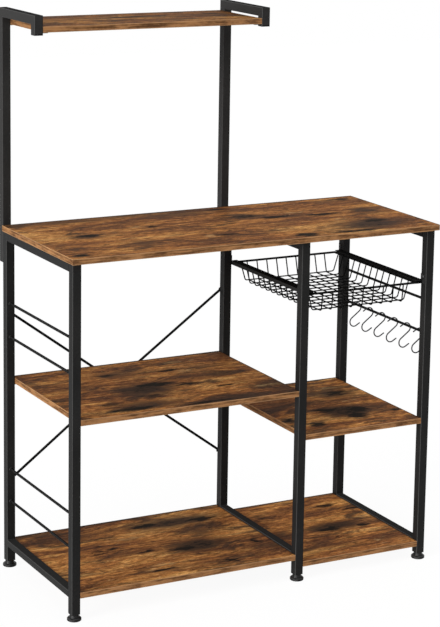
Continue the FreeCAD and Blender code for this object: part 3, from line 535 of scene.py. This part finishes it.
# small helpers for the geometry nodes: a tree's outputs are the named inputs that a piece sets
def newTree(name, inputs):
    tree = bpy.data.node_groups.new(name, "GeometryNodeTree")
    tree.interface.new_socket("Geometry", in_out="INPUT", socket_type="NodeSocketGeometry")
    for label, kind, value in inputs:
        socket = tree.interface.new_socket(label, in_out="INPUT", socket_type="NodeSocket" + kind)
        socket.default_value = value
    tree.interface.new_socket("Geometry", in_out="OUTPUT", socket_type="NodeSocketGeometry")
    return tree, addNode(tree, "NodeGroupInput", (-900, 0)).outputs


def finishTree(tree, geometry, material):
    whole = outOf(tree, "GeometryNodeRealizeInstances", (400, 0), {0: geometry})
    smooth = outOf(tree, "GeometryNodeSetShadeSmooth", (550, 0), {0: whole})
    painted = outOf(tree, "GeometryNodeSetMaterial", (700, 0), {0: smooth, "Material": material})
    addNode(tree, "NodeGroupOutput", (900, 0), {0: painted})
    return tree


# a round skin along a curve
def swept(tree, path, radius, sides, capped=True):
    section = outOf(tree, "GeometryNodeCurvePrimitiveCircle", (-500, -200),
                    {"Resolution": sides, "Radius": radius})
    return outOf(tree, "GeometryNodeCurveToMesh", (-300, 0),
                 {"Curve": path, "Profile Curve": section, "Fill Caps": capped})


def copiesOn(tree, points, instance, **more):
    return outOf(tree, "GeometryNodeInstanceOnPoints", (100, 0),
                 {"Points": points, "Instance": instance, **more})


def joined(tree, first, second):
    node = addNode(tree, "GeometryNodeJoinGeometry", (0, 0), {0: first})
    tree.links.new(second, node.inputs[0])
    return node.outputs[0]


def meshObject(name, points, edges=(), faces=()):
    mesh = bpy.data.meshes.new(name)
    mesh.from_pydata([Vector(p) for p in points], list(edges), list(faces))
    piece = bpy.data.objects.new(name, mesh)
    bpy.context.scene.collection.objects.link(piece)
    return piece


def grow(piece, tree, values, material):
    modifier = piece.modifiers.new("build", "NODES")
    modifier.node_group = tree
    for item in tree.interface.items_tree:
        if item.in_out == "INPUT" and item.name in values:
            modifier[item.identifier] = values[item.name]
    depsgraph = bpy.context.evaluated_depsgraph_get()
    depsgraph.update()
    solid = bpy.data.meshes.new_from_object(piece.evaluated_get(depsgraph))
    piece.modifiers.clear()
    piece.data = solid
    if not solid.materials:
        solid.materials.append(material)
    return piece


# bent wire repeated at an even step
def wireTree(material, look):
    tree, sizes = newTree("bentWires", [
        ("Wire Diameter", "Float", look["diameter"]), ("Bend Radius", "Float", look["bend"]),
        ("Count", "Int", 1), ("Step", "Vector", (0, 0, 0))])
    path = outOf(tree, "GeometryNodeMeshToCurve", (-650, 0), {"Mesh": sizes["Geometry"]})
    bent = outOf(tree, "GeometryNodeFilletCurve", (-500, 0), {
        "Curve": path, "Radius": sizes["Bend Radius"], "Count": look["bendSteps"]}, mode="POLY")
    skin = swept(tree, bent, times(tree, sizes["Wire Diameter"], 0.5), look["sides"])
    line = outOf(tree, "GeometryNodeMeshLine", (-300, 200),
                 {"Count": sizes["Count"], "Offset": sizes["Step"]})
    return finishTree(tree, copiesOn(tree, line, skin), material)


# small weld nuggets, one on each point of the mesh it grows on
def nuggetTree(material, look):
    tree, sizes = newTree("weldNuggets", [
        ("Nugget Size", "Vector", look["size"]), ("Smallest", "Float", look["smallest"]),
        ("Largest", "Float", look["largest"]), ("Seed", "Int", look["seed"])])
    ball = outOf(tree, "GeometryNodeMeshIcoSphere", (-500, -100), {"Radius": 1.0, "Subdivisions": 2})
    vary = addNode(tree, "FunctionNodeRandomValue", (-500, -300), {
        2: sizes["Smallest"], 3: sizes["Largest"], "Seed": sizes["Seed"]}, data_type="FLOAT")
    scale = vectorCalc(tree, "MULTIPLY", sizes["Nugget Size"], vary.outputs[1])[0]
    return finishTree(tree, copiesOn(tree, sizes["Geometry"], ball, Scale=scale), material)


# wire basket: cross wires, one more hugging the rear bend, long wires over them
basketWires = {
    "diameter": 0.0029, "bend": 0.006, "rim": 0.6565, "crossLevel": 0.6113, "longLevel": 0.6140,
    "left": 0.1406, "right": 0.4054, "front": -0.1835, "rear": 0.1647,
    "sideSlope": 0.012, "rearSlope": 0.012, "frontSlope": 0.005,
    "crossFirst": -0.1545, "crossStep": 0.2852 / 11, "crossCount": 12,
    "longFirst": 0.1621, "longStep": 0.2107 / 8, "longCount": 9,
    "hugY": 0.15421, "hugLevel": 0.61443, "hugTop": 0.6536,
    "sides": 10, "bendSteps": 7,
}
# its spot welds: their size, how much it varies, and how far they stand off the wires' ends
basketSpots = {
    "size": (0.0015, 0.0015, 0.0011), "smallest": 0.88, "largest": 1.14, "seed": 3, "rimOut": 0.0012,
    "hugIn": 0.0009, "hugOut": 0.0004, "hugLift": 0.0002,
}
bentWires = wireTree(basketCoat, basketWires)
weldNuggets = nuggetTree(basketCoat, basketSpots)


def crossPath(y, level, top):
    b = basketWires
    return [(b["left"], y, top), (b["left"] + b["sideSlope"], y, level),
            (b["right"] - b["sideSlope"], y, level), (b["right"], y, top)]


def longPath(x):
    b = basketWires
    return [(x, b["rear"], b["rim"]), (x, b["rear"] - b["rearSlope"], b["longLevel"]),
            (x, b["front"] + b["frontSlope"], b["longLevel"]), (x, b["front"], b["rim"])]


def bentWire(name, points, count, step):
    b = basketWires
    wire = meshObject(name, points, [(0, 1), (1, 2), (2, 3)])
    return grow(wire, bentWires, {"Wire Diameter": b["diameter"], "Bend Radius": b["bend"],
                                  "Count": count, "Step": step}, basketCoat)


b = basketWires
crossRun = bentWire("basketCrossWires", crossPath(b["crossFirst"], b["crossLevel"], b["rim"]),
                    b["crossCount"], (0, b["crossStep"], 0))
hugWire = bentWire("basketRearWire", crossPath(b["hugY"], b["hugLevel"], b["hugTop"]), 1, (0, 0, 0))
longRun = bentWire("basketLongWires", longPath(b["longFirst"]), b["longCount"], (b["longStep"], 0, 0))

# spot welds where wires cross, and where they end under the rim or on the side wires
s = basketSpots
crossYs = [b["crossFirst"] + i * b["crossStep"] for i in range(b["crossCount"])]
longXs = [b["longFirst"] + i * b["longStep"] for i in range(b["longCount"])]
crossings = [(x, y, (b["crossLevel"] + b["longLevel"]) / 2) for x in longXs for y in crossYs]
crossings += [(x, b["hugY"] - s["hugIn"], b["hugLevel"] + s["hugIn"]) for x in longXs]
rimEnds = [(x, y, b["rim"]) for y in crossYs for x in (b["left"] - s["rimOut"], b["right"] + s["rimOut"])]
rimEnds += [(x, y, b["rim"]) for x in longXs for y in (b["front"] - s["rimOut"], b["rear"] + s["rimOut"])]
rimEnds += [(x, b["hugY"], b["hugTop"] + s["hugLift"])
            for x in (b["left"] - s["hugOut"], b["right"] + s["hugOut"])]
basketWelds = grow(meshObject("basketWelds", crossings + rimEnds), weldNuggets,
                   {"Nugget Size": s["size"], "Smallest": s["smallest"], "Largest": s["largest"],
                    "Seed": s["seed"]}, basketCoat)
for piece in (crossRun, hugWire, longRun, basketWelds):
    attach(piece, "basket")
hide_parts("basket_cross_wires")
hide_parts("basket_long_wires")
print("stage: basket wires", len(crossYs) + 1, "across,", len(longXs), "lengthwise,",
      len(crossings), "welds")


# S hooks: one bent wire with rounded tips, hung six times on the lower rod
hookWire = {
    "diameter": 0.0030, "radius": 0.0117, "centreDrop": 0.007, "skew": 0.0032, "middleDrop": 0.0239,
    "tip": 0.0106, "tipAngle": math.radians(120), "arcSteps": 26, "count": 6, "pitch": 0.054,
    "x": 0.435, "first": 0.1106, "height": 0.5365, "sides": 14, "tipRings": 10,
}


def hookTree(material, look):
    tree, sizes = newTree("bentHook", [("Wire Diameter", "Float", look["diameter"])])
    path = outOf(tree, "GeometryNodeMeshToCurve", (-650, 0), {"Mesh": sizes["Geometry"]})
    radius = times(tree, sizes["Wire Diameter"], 0.5)
    skin = swept(tree, path, radius, look["sides"], capped=False)
    ends = outOf(tree, "GeometryNodeCurveEndpointSelection", (-500, 300))
    ball = outOf(tree, "GeometryNodeMeshUVSphere", (-500, 500),
                 {"Segments": look["sides"], "Rings": look["tipRings"], "Radius": radius})
    tips = copiesOn(tree, path, ball, Selection=ends)
    return finishTree(tree, joined(tree, skin, tips), material)


# the path of one hook, hung from the origin: the lower half is the upper one turned round the middle
def hookPath():
    h = hookWire
    centre = Vector((0, 0, -h["centreDrop"]))
    middle = Vector((-h["skew"], 0, -h["middleDrop"]))
    offset = centre - middle
    reach = offset.length
    tangent = math.atan2(offset.z, offset.x) - math.asin(h["radius"] / reach)
    first, last = h["tipAngle"], tangent - math.pi / 2

    def onArc(angle):
        return centre + Vector((math.cos(angle), 0, math.sin(angle))) * h["radius"]

    root = onArc(first)
    upper = [root + Vector((-math.sin(first), 0, math.cos(first))) * h["tip"]]
    upper += [onArc(first + (last - first) * i / h["arcSteps"]) for i in range(h["arcSteps"] + 1)]
    lower = [middle * 2 - point for point in reversed(upper)]
    return upper + lower


bentHook = hookTree(hookSteel, hookWire)
h = hookWire
for i in range(h["count"]):
    place = Vector((h["x"], h["first"] - i * h["pitch"], h["height"]))
    points = [point + place for point in hookPath()]
    hook = grow(meshObject(f"hangingHook{i + 1}", points, [(k, k + 1) for k in range(len(points) - 1)]),
                bentHook, {"Wire Diameter": h["diameter"]}, hookSteel)
    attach(hook, f"hook_{i + 1}")
    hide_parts(f"s_hook_{i + 1}")
print("stage: hooks", h["count"])


# button-head screws with a hexagon socket, set on points that carry their own turn
screwShape = {
    "head": 0.00525, "height": 0.0033, "shank": 0.00295, "socket": 0.0023, "socketDepth": 0.0019,
    "frameLength": 0.012, "boltLength": 0.030, "segments": 24, "tipShare": 0.8, "tipChamfer": 0.0006,
    "flare": 1.06, "flareTop": 0.0001, "flareEnd": 0.0003, "drillTip": 0.0005,
    # the dome of the head, from its rim inwards: share of the head's radius, height over the seat
    "dome": [(0.97, 0.0), (1.0, 0.0002), (1.0, 0.0008), (0.965, 0.0014), (0.87, 0.00215), (0.74, 0.0027),
             (0.6, 0.0031), (0.52, 0.0033)],
}


def buttonScrew(name, length):
    s = screwShape
    turns = [2 * math.pi * k / s["segments"] for k in range(s["segments"])]
    profile = [(s["shank"] * s["tipShare"], -length), (s["shank"], -length + s["tipChamfer"]),
               (s["shank"], 0.0)]
    profile += [(s["head"] * share, z) for share, z in s["dome"]]
    shape = bmesh.new()
    rings = []
    for radius, z in profile:
        rings.append([shape.verts.new((radius * math.cos(a), radius * math.sin(a), z)) for a in turns])

    def hexRadius(angle, corner):
        part = math.pi / 3
        return corner * math.cos(part / 2) / math.cos((angle % part) - part / 2)

    floor = s["height"] - s["socketDepth"]
    for corner, z in ((s["socket"] * s["flare"], s["height"] - s["flareTop"]),
                      (s["socket"], s["height"] - s["flareEnd"]), (s["socket"], floor)):
        reach = [hexRadius(a, corner) for a in turns]
        rings.append([shape.verts.new((r * math.cos(a), r * math.sin(a), z)) for r, a in zip(reach, turns)])
    count = len(turns)
    for lower, upper in zip(rings, rings[1:]):
        for k in range(count):
            shape.faces.new((lower[k], lower[(k + 1) % count], upper[(k + 1) % count], upper[k]))
    shape.faces.new(list(reversed(rings[0])))
    tip = shape.verts.new((0, 0, floor - s["drillTip"]))
    for k in range(count):
        shape.faces.new((rings[-1][k], rings[-1][(k + 1) % count], tip))
    bmesh.ops.recalc_face_normals(shape, faces=shape.faces)
    mesh = bpy.data.meshes.new(name)
    shape.to_mesh(mesh)
    shape.free()
    screw = bpy.data.objects.new(name, mesh)
    bpy.context.scene.collection.objects.link(screw)
    return screw


def screwTree(material):
    tree, sizes = newTree("setScrews", [("Screw", "Object", None)])
    info = addNode(tree, "GeometryNodeObjectInfo", (-600, -200), {"Object": sizes["Screw"]})
    turn = outOf(tree, "GeometryNodeInputNamedAttribute", (-600, 200), {"Name": "turn"},
                 data_type="FLOAT_VECTOR")
    rotation = outOf(tree, "FunctionNodeEulerToRotation", (-400, 200), {0: turn})
    copies = copiesOn(tree, sizes["Geometry"], info.outputs["Geometry"], Rotation=rotation)
    return finishTree(tree, copies, material)


setScrews = screwTree(blackScrew)


def screwsAt(name, places, length):
    headUp = Vector((0, 0, 1))
    points = meshObject(name, [place for place, outward, spin in places])
    turns = points.data.attributes.new("turn", "FLOAT_VECTOR", "POINT")
    for item, (place, outward, spin) in zip(turns.data, places):
        turned = headUp.rotation_difference(Vector(outward)) @ Euler((0, 0, spin)).to_quaternion()
        item.vector = turned.to_euler()
    template = buttonScrew(name + "Template", length)
    piece = grow(points, setScrews, {"Screw": template}, blackScrew)
    bpy.data.objects.remove(template)
    return piece


# where the heads seat: the faces behind the rear legs and posts, and the inner faces with the rails' ears
screwRows = {
    "rearFace": 0.1871, "postFace": 0.2046, "legs": (-0.435, 0.111), "brace": (0.1935, 0.594),
    "bolts": (0.727, 0.757), "ears": ((0.122, 1), (0.424, -1)), "earRows": (-0.1854, 0.1746),
    "earHeight": 0.668,
}
# the last number turns the socket, so that no two screws stand alike
r = screwRows
braceScrews = [((x, r["rearFace"], z), (0, 1, 0), 0.4 + x + z) for x in r["legs"] for z in r["brace"]]
earScrews = [((x, y, r["earHeight"]), (side, 0, 0), 1.1 + 3 * y)
             for x, side in r["ears"] for y in r["earRows"]]
postBolts = [((x, r["postFace"], z), (0, 1, 0), 0.9 + 5 * z) for x in r["legs"] for z in r["bolts"]]
frameScrewSet = screwsAt("frameScrewSet", braceScrews + earScrews, screwShape["frameLength"])
postBoltSet = screwsAt("postBoltSet", postBolts, screwShape["boltLength"])
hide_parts("frame_screws")
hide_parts("post_bolts")
for piece in (frameScrewSet, postBoltSet):
    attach(piece, "rack")
print("stage: screws", len(braceScrews + earScrews + postBolts))


# weld beads: a ring round each rod end, a short run above and below each rail end
weldBeads = {
    "ring": 0.0035, "ringBead": 0.0011, "run": 0.0165, "runBead": 0.0012, "lump": 0.00035, "seed": 5.0,
    "lumpScale": 520.0, "sides": 8, "ringSteps": 20, "runSteps": 14,
    "legFaces": (-0.1754, 0.1646),
    "rods": [(-0.435, 0.6135), (-0.435, 0.5365), (-0.435, 0.2303), (-0.435, 0.1555), (0.435, 0.6135),
             (0.435, 0.5365)],
    "railEdges": [(-0.435, 0.0493), (-0.435, 0.0643), (0.111, 0.0493), (0.111, 0.0643), (0.435, 0.0312),
                  (0.435, 0.0462), (-0.435, 0.757), (0.111, 0.757), (0.435, 0.757)],
}


def beadTree(material, look):
    tree, sizes = newTree("weldBeads", [
        ("Ring Radius", "Float", look["ring"]), ("Bead Radius", "Float", look["ringBead"]),
        ("Run Length", "Float", 0.0), ("Lump", "Float", look["lump"]), ("Seed", "Float", look["seed"])])
    ring = outOf(tree, "GeometryNodeCurvePrimitiveCircle", (-800, 200),
                 {"Resolution": look["ringSteps"], "Radius": sizes["Ring Radius"]})
    standing = outOf(tree, "GeometryNodeTransform", (-600, 200),
                     {"Geometry": ring, "Rotation": (math.radians(90), 0, 0)})
    length = sizes["Run Length"]
    start, end = (outOf(tree, "ShaderNodeCombineXYZ", (-900, -200), {"X": times(tree, length, share)})
                  for share in (-0.5, 0.5))
    run = outOf(tree, "GeometryNodeCurvePrimitiveLine", (-750, -100), {"Start": start, "End": end})
    fine = outOf(tree, "GeometryNodeResampleCurve", (-600, -100), {"Curve": run, "Count": look["runSteps"]})
    isRun = outOf(tree, "FunctionNodeCompare", (-550, 400), {0: length, 1: 0.0001},
                  data_type="FLOAT", operation="GREATER_THAN")
    path = outOf(tree, "GeometryNodeSwitch", (-350, 100), {"Switch": isRun, "False": standing, "True": fine},
                 input_type="GEOMETRY")
    copies = copiesOn(tree, sizes["Geometry"], swept(tree, path, sizes["Bead Radius"], look["sides"]))
    whole = outOf(tree, "GeometryNodeRealizeInstances", (200, 0), {0: copies})
    # lumps along the bead
    lumps = addNode(tree, "ShaderNodeTexNoise", (0, -400), {"Scale": look["lumpScale"], "W": sizes["Seed"]},
                    noise_dimensions="4D")
    centred = vectorCalc(tree, "SUBTRACT", lumps.outputs["Color"], (0.5, 0.5, 0.5))[0]
    offset = vectorCalc(tree, "MULTIPLY", centred, sizes["Lump"])[0]
    moved = outOf(tree, "GeometryNodeSetPosition", (320, 0), {"Geometry": whole, "Offset": offset})
    return finishTree(tree, moved, material)


frameBeads = beadTree(blackSteel, weldBeads)
w = weldBeads
# a bead with a run length lies along X, one without it is a ring round its rod
for name, middles, beadRadius, run in (("rodWeldBeads", w["rods"], w["ringBead"], 0.0),
                                       ("railWeldBeads", w["railEdges"], w["runBead"], w["run"])):
    points = [(x, y, z) for x, z in middles for y in w["legFaces"]]
    beads = grow(meshObject(name, points), frameBeads,
                 {"Ring Radius": w["ring"], "Bead Radius": beadRadius, "Run Length": run, "Lump": w["lump"],
                  "Seed": w["seed"]}, blackSteel)
    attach(beads, "rack")
    print("stage:", name, len(points))


# threaded studs of the levelling feet: a core with a rounded thread wound on it
footStud = {
    "radius": 0.004, "thread": 0.00042, "pitch": 0.00125, "bottom": 0.0035, "length": 0.033,
    "coreSides": 20, "turnSteps": 14, "threadSides": 5,
    "sides": (("left", -0.435), ("middle", 0.111), ("right", 0.435)),
    "ends": (("front", -0.1854), ("rear", 0.1746)),
}


def studTree(material, look):
    tree, sizes = newTree("threadedStud", [
        ("Radius", "Float", look["radius"]), ("Thread", "Float", look["thread"]),
        ("Turns", "Float", look["length"] / look["pitch"]), ("Length", "Float", look["length"])])
    radius, thread, length = sizes["Radius"], sizes["Thread"], sizes["Length"]
    # the thread is a round bead that ends at the radius, and the core reaches a little into it
    core = outOf(tree, "GeometryNodeMeshCylinder", (-500, 300), {
        "Vertices": look["coreSides"], "Radius": calc(tree, "SUBTRACT", radius, times(tree, thread, 1.5)),
        "Depth": length})
    lift = outOf(tree, "ShaderNodeCombineXYZ", (-500, 500), {"Z": times(tree, length, 0.5)})
    raised = outOf(tree, "GeometryNodeTransform", (-300, 300), {"Geometry": core, "Translation": lift})
    inner = calc(tree, "SUBTRACT", radius, thread)
    winding = outOf(tree, "GeometryNodeCurveSpiral", (-500, 0), {
        "Resolution": look["turnSteps"], "Rotations": sizes["Turns"], "Start Radius": inner,
        "End Radius": inner, "Height": length})
    stud = joined(tree, raised, swept(tree, winding, thread, look["threadSides"]))
    return finishTree(tree, copiesOn(tree, sizes["Geometry"], stud), material)


threadedStud = studTree(zincSteel, footStud)
t = footStud
for side, x in t["sides"]:
    for end, y in t["ends"]:
        stud = grow(meshObject(f"{side}{end.capitalize()}ThreadedStud", [(x, y, t["bottom"])]), threadedStud,
                    {"Radius": t["radius"], "Thread": t["thread"], "Turns": t["length"] / t["pitch"],
                     "Length": t["length"]}, zincSteel)
        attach(stud, f"{side}_{end}_foot")
        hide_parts(f"{side}_{end}_foot_stud")
print("stage: studs", len(t["sides"]) * len(t["ends"]))


# pale floor, white world and two soft suns
studio = {
    "floorHalf": 9, "floorTone": 0.97, "floorGlow": 1.02,
    "floorSeen": 0.92,   # how much of the floor is plain white; the rest keeps the rack's shadow
    "worldLight": 0.50, "worldSeen": 0.50,
    "suns": [("sideSun", (0.95, 0.25, -0.35), 2.4, 30), ("topSun", (-0.12, 0.34, -1.0), 0.40, 50)],
}


# 1 for the rays of the camera, gloss and glass, which see plain white, and 0 for those that light the rack
def seenDirectly(tree):
    rays = addNode(tree, "ShaderNodeLightPath", (-700, 0)).outputs
    return calc(tree, "MAXIMUM", rays["Is Camera Ray"],
                calc(tree, "MAXIMUM", rays["Is Glossy Ray"], rays["Is Transmission Ray"]))


def paperWhite(name, look):
    material, tree = emptyMaterial(name)
    matt = outOf(tree, "ShaderNodeBsdfDiffuse", (100, 0), {"Color": (*grey(look["floorTone"]), 1)})
    glow = outOf(tree, "ShaderNodeEmission", (100, -200), {"Strength": look["floorGlow"]})
    seen = times(tree, seenDirectly(tree), look["floorSeen"])
    mixed = outOf(tree, "ShaderNodeMixShader", (400, 0), {0: seen, 1: matt, 2: glow})
    addNode(tree, "ShaderNodeOutputMaterial", (600, 0), {"Surface": mixed})
    return material


side = studio["floorHalf"]
floor = meshObject("studioFloor", [(-side, -side, 0), (side, -side, 0), (side, side, 0), (-side, side, 0)],
                   faces=[(0, 1, 2, 3)])
floor.data.materials.append(paperWhite("studioWhite", studio))

world = bpy.data.worlds.new("studioWorld")
bpy.context.scene.world = world
world.use_nodes = True
worldTree = world.node_tree
worldTree.nodes.clear()
shown = times(worldTree, seenDirectly(worldTree), studio["worldSeen"])
light = calc(worldTree, "ADD", shown, studio["worldLight"])
sky = outOf(worldTree, "ShaderNodeBackground", (0, 0), {"Color": (1, 1, 1, 1), "Strength": light})
addNode(worldTree, "ShaderNodeOutputWorld", (300, 0), {"Surface": sky})

for name, towards, strength, angle in studio["suns"]:
    sun = bpy.data.lights.new(name, "SUN")
    sun.energy = strength
    sun.angle = math.radians(angle)
    lamp = bpy.data.objects.new(name, sun)
    lamp.rotation_euler = Vector(towards).to_track_quat("-Z", "Y").to_euler()
    bpy.context.scene.collection.objects.link(lamp)

# the photograph's viewing angle, with a small shift that keeps upright tubes nearly parallel
cameraLook = {
    "place": (-2.14101, -4.01038, 1.70483), "yaw": 0.49022, "pitch": 0.18236, "roll": 0.01561,
    "lens": 119.284, "sensor": 36, "shiftY": -0.197, "farthest": 60,
}
c = cameraLook
ahead = Vector((math.sin(c["yaw"]) * math.cos(c["pitch"]), math.cos(c["yaw"]) * math.cos(c["pitch"]),
                -math.sin(c["pitch"])))
level = Vector((math.cos(c["yaw"]), -math.sin(c["yaw"]), 0))
upward = level.cross(ahead)
right = level * math.cos(c["roll"]) + upward * math.sin(c["roll"])
top = upward * math.cos(c["roll"]) - level * math.sin(c["roll"])
cameraData = bpy.data.cameras.new("studioCamera")
cameraData.lens = c["lens"]
cameraData.sensor_width = c["sensor"]
cameraData.sensor_fit = "AUTO"
cameraData.shift_y = c["shiftY"]
cameraData.clip_end = c["farthest"]
camera = bpy.data.objects.new("studioCamera", cameraData)
turn = Matrix((right, top, -ahead)).transposed().to_4x4()
camera.matrix_world = Matrix.Translation(Vector(c["place"])) @ turn
bpy.context.scene.collection.objects.link(camera)
bpy.context.scene.camera = camera
bpy.context.scene.view_settings.view_transform = "Standard"
print("stage: floor, light and camera")
